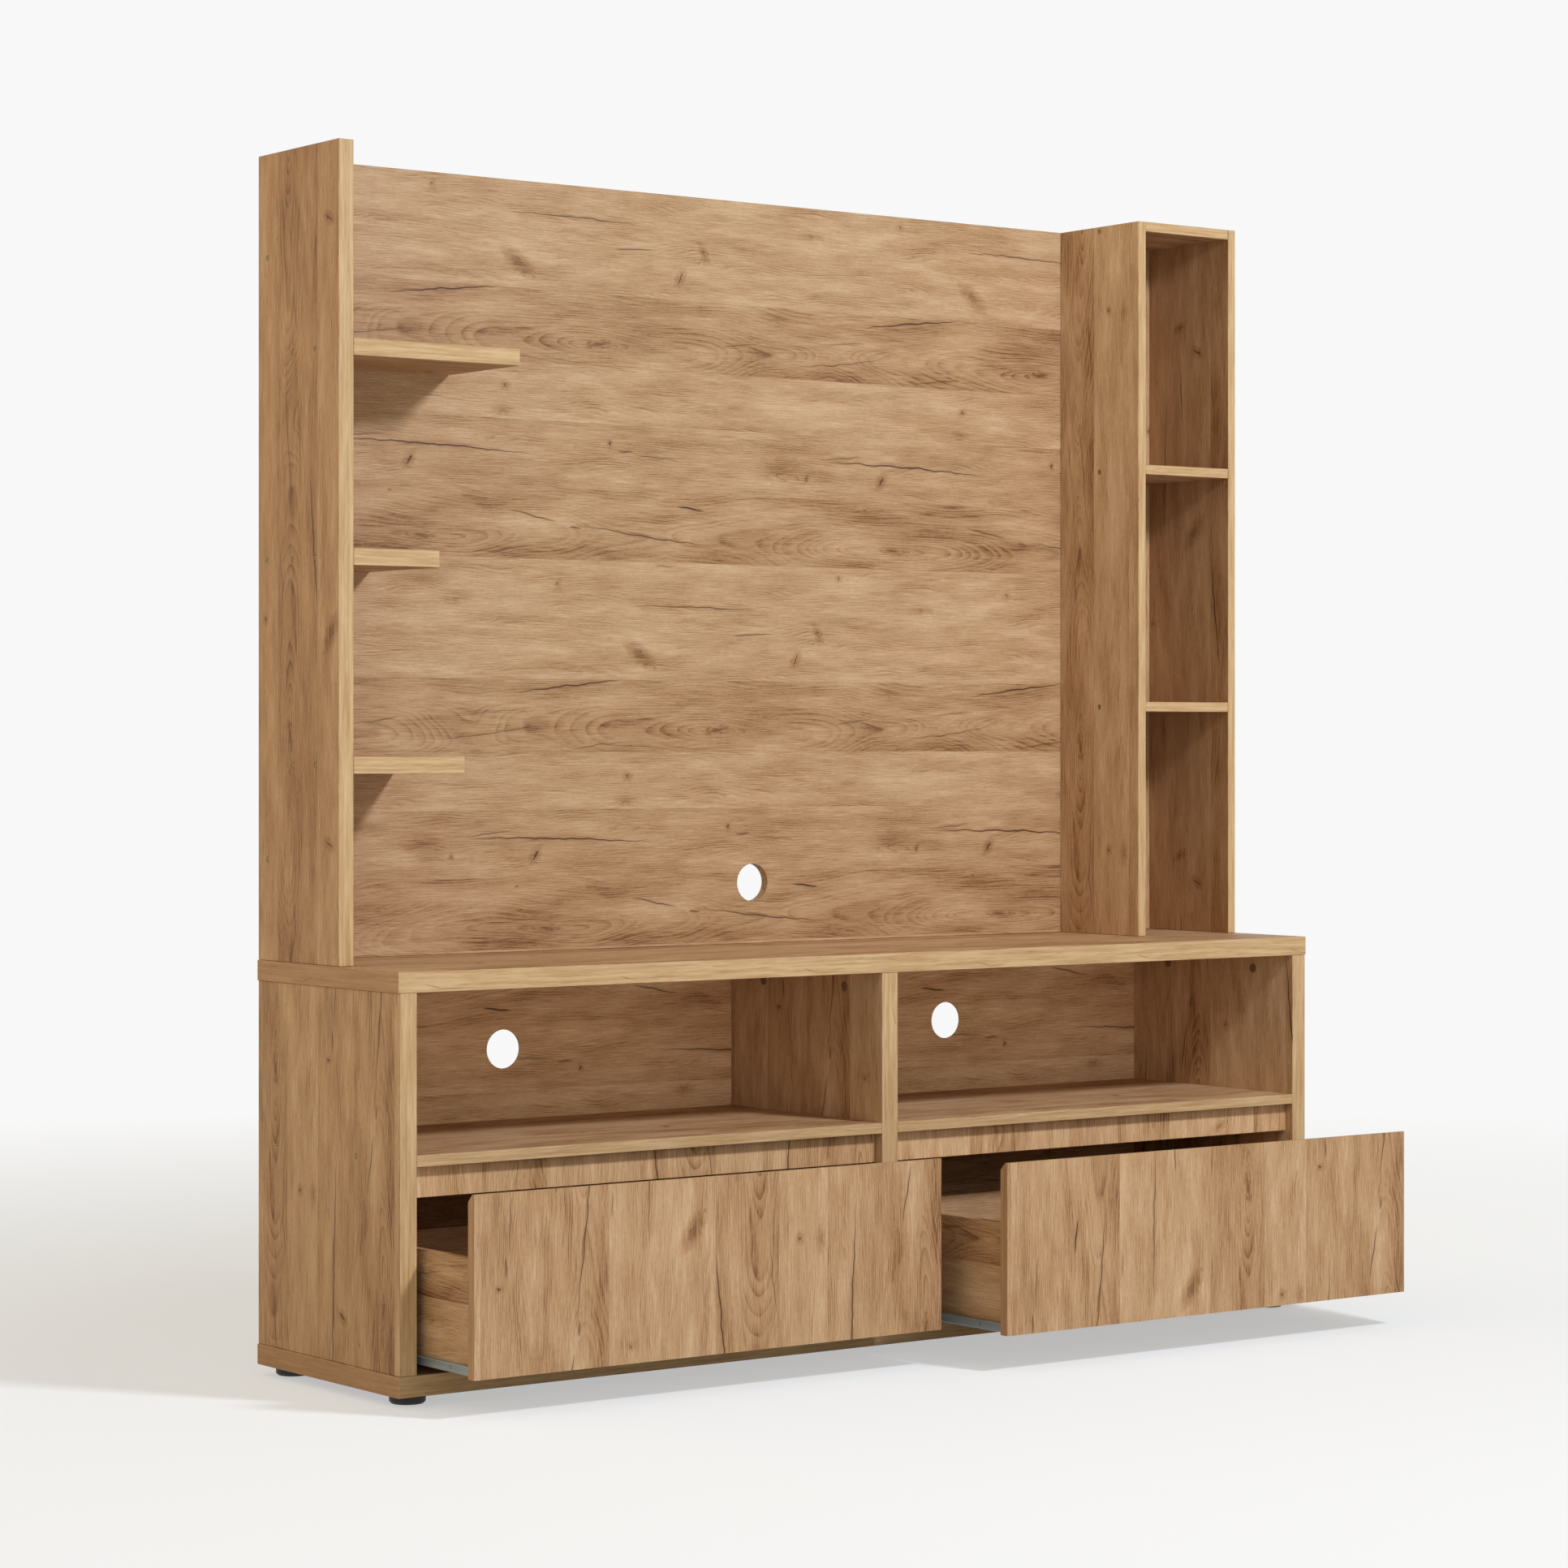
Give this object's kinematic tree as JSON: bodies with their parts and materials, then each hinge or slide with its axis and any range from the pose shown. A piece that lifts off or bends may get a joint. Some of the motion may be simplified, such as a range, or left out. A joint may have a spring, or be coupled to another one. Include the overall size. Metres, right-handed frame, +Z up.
{
  "type": "entertainment center",
  "caption": "Low media cabinet with open bays over handleless roller-runner drawers, under a back-panel hutch with cantilever shelves and a narrow shelf column.",
  "frame": {"origin": "on the floor, under the middle of the whole with its drawers partly open as stored", "axes": "+Z up, +X to the right and -Y out of the front, along which the drawers open"},
  "size_m": [1.74, 0.658, 1.793],
  "materials": {
    "oak_board": "matte",
    "drawer_bottom": "matte",
    "black_plastic": "matte",
    "brown_plastic": "matte",
    "white_nylon": "matte",
    "coated_steel": "satin"
  },
  "bodies": {
    "cabinet": {"bottom_slab": "oak_board", "top_slab": "oak_board", "left_side": "oak_board", "right_side": "oak_board", "centre_divider": "oak_board", "left_bay_shelf": "oak_board", "right_bay_shelf": "oak_board", "left_apron": "oak_board", "right_apron": "oak_board", "left_bay_back": "oak_board", "right_bay_back": "oak_board", "foot_front_left": "black_plastic", "foot_front_right": "black_plastic", "foot_rear_left": "black_plastic", "foot_rear_right": "black_plastic", "foot_centre": "black_plastic", "left_upright": "oak_board", "column_inner_upright": "oak_board", "column_outer_upright": "oak_board", "hutch_back_panel": "oak_board", "column_back": "oak_board", "hutch_shelf_top": "oak_board", "hutch_shelf_middle": "oak_board", "hutch_shelf_bottom": "oak_board", "column_top": "oak_board", "column_shelf_upper": "oak_board", "column_shelf_lower": "oak_board", "left_side_front_cam_lock": "brown_plastic", "left_side_rear_cam_lock": "brown_plastic", "centre_divider_front_cam_lock": "brown_plastic", "centre_divider_rear_cam_lock": "brown_plastic", "right_side_front_cam_lock": "brown_plastic", "right_side_rear_cam_lock": "brown_plastic", "left_bay_left_rail": "coated_steel", "left_bay_right_rail": "coated_steel", "right_bay_left_rail": "coated_steel", "right_bay_right_rail": "coated_steel"},
    "left_drawer": {"left_drawer_front": "oak_board", "left_drawer_left_side": "oak_board", "left_drawer_right_side": "oak_board", "left_drawer_back": "oak_board", "left_drawer_bottom": "drawer_bottom", "left_drawer_left_runner": "coated_steel", "left_drawer_right_runner": "coated_steel"},
    "right_drawer": {"right_drawer_front": "oak_board", "right_drawer_left_side": "oak_board", "right_drawer_right_side": "oak_board", "right_drawer_back": "oak_board", "right_drawer_bottom": "drawer_bottom", "right_drawer_left_runner": "coated_steel", "right_drawer_right_runner": "coated_steel"},
    "left_drawer_left_rear_roller": {"left_drawer_left_rear_roller": "white_nylon"},
    "left_drawer_right_rear_roller": {"left_drawer_right_rear_roller": "white_nylon"},
    "left_bay_left_front_roller": {"left_bay_left_front_roller": "white_nylon"},
    "left_bay_right_front_roller": {"left_bay_right_front_roller": "white_nylon"},
    "right_drawer_left_rear_roller": {"right_drawer_left_rear_roller": "white_nylon"},
    "right_drawer_right_rear_roller": {"right_drawer_right_rear_roller": "white_nylon"},
    "right_bay_left_front_roller": {"right_bay_left_front_roller": "white_nylon"},
    "right_bay_right_front_roller": {"right_bay_right_front_roller": "white_nylon"}
  },
  "joints": [
    {"name": "left_drawer_slide", "type": "slide", "parent": "cabinet", "child": "left_drawer", "axis": [0, -1, 0], "range_m": [-0.146, 0.119]},
    {"name": "right_drawer_slide", "type": "slide", "parent": "cabinet", "child": "right_drawer", "axis": [0, -1, 0], "range_m": [-0.258, 0.007]},
    {"name": "left_drawer_left_rear_roller_spin", "type": "hinge", "parent": "left_drawer", "child": "left_drawer_left_rear_roller", "pos_m": [-0.8326, 0.1373, 0.0615], "axis": [1, 0, 0], "range_deg": [-1197, 976]},
    {"name": "left_drawer_right_rear_roller_spin", "type": "hinge", "parent": "left_drawer", "child": "left_drawer_right_rear_roller", "pos_m": [-0.0224, 0.1373, 0.0615], "axis": [1, 0, 0], "range_deg": [-1197, 976]},
    {"name": "left_bay_left_front_roller_spin", "type": "hinge", "parent": "cabinet", "child": "left_bay_left_front_roller", "pos_m": [-0.8349, -0.0405, 0.0628], "axis": [1, 0, 0], "range_deg": [-1047, 854]},
    {"name": "left_bay_right_front_roller_spin", "type": "hinge", "parent": "cabinet", "child": "left_bay_right_front_roller", "pos_m": [-0.0201, -0.0405, 0.0628], "axis": [1, 0, 0], "range_deg": [-1047, 854]},
    {"name": "right_drawer_left_rear_roller_spin", "type": "hinge", "parent": "right_drawer", "child": "right_drawer_left_rear_roller", "pos_m": [0.0224, 0.0253, 0.0615], "axis": [1, 0, 0], "range_deg": [-2113, 59]},
    {"name": "right_drawer_right_rear_roller_spin", "type": "hinge", "parent": "right_drawer", "child": "right_drawer_right_rear_roller", "pos_m": [0.8326, 0.0253, 0.0615], "axis": [1, 0, 0], "range_deg": [-2113, 59]},
    {"name": "right_bay_left_front_roller_spin", "type": "hinge", "parent": "cabinet", "child": "right_bay_left_front_roller", "pos_m": [0.0201, -0.0405, 0.0628], "axis": [1, 0, 0], "range_deg": [-1849, 52]},
    {"name": "right_bay_right_front_roller_spin", "type": "hinge", "parent": "cabinet", "child": "right_bay_right_front_roller", "pos_m": [0.8349, -0.0405, 0.0628], "axis": [1, 0, 0], "range_deg": [-1849, 52]}
  ],
  "couplings": [
    {"joint": "left_drawer_left_rear_roller_spin", "follows": "left_drawer_slide", "rad_per_m": 142.86},
    {"joint": "left_drawer_right_rear_roller_spin", "follows": "left_drawer_slide", "rad_per_m": 142.86},
    {"joint": "left_bay_left_front_roller_spin", "follows": "left_drawer_slide", "rad_per_m": 125},
    {"joint": "left_bay_right_front_roller_spin", "follows": "left_drawer_slide", "rad_per_m": 125},
    {"joint": "right_drawer_left_rear_roller_spin", "follows": "right_drawer_slide", "rad_per_m": 142.86},
    {"joint": "right_drawer_right_rear_roller_spin", "follows": "right_drawer_slide", "rad_per_m": 142.86},
    {"joint": "right_bay_left_front_roller_spin", "follows": "right_drawer_slide", "rad_per_m": 125},
    {"joint": "right_bay_right_front_roller_spin", "follows": "right_drawer_slide", "rad_per_m": 125}
  ]
}
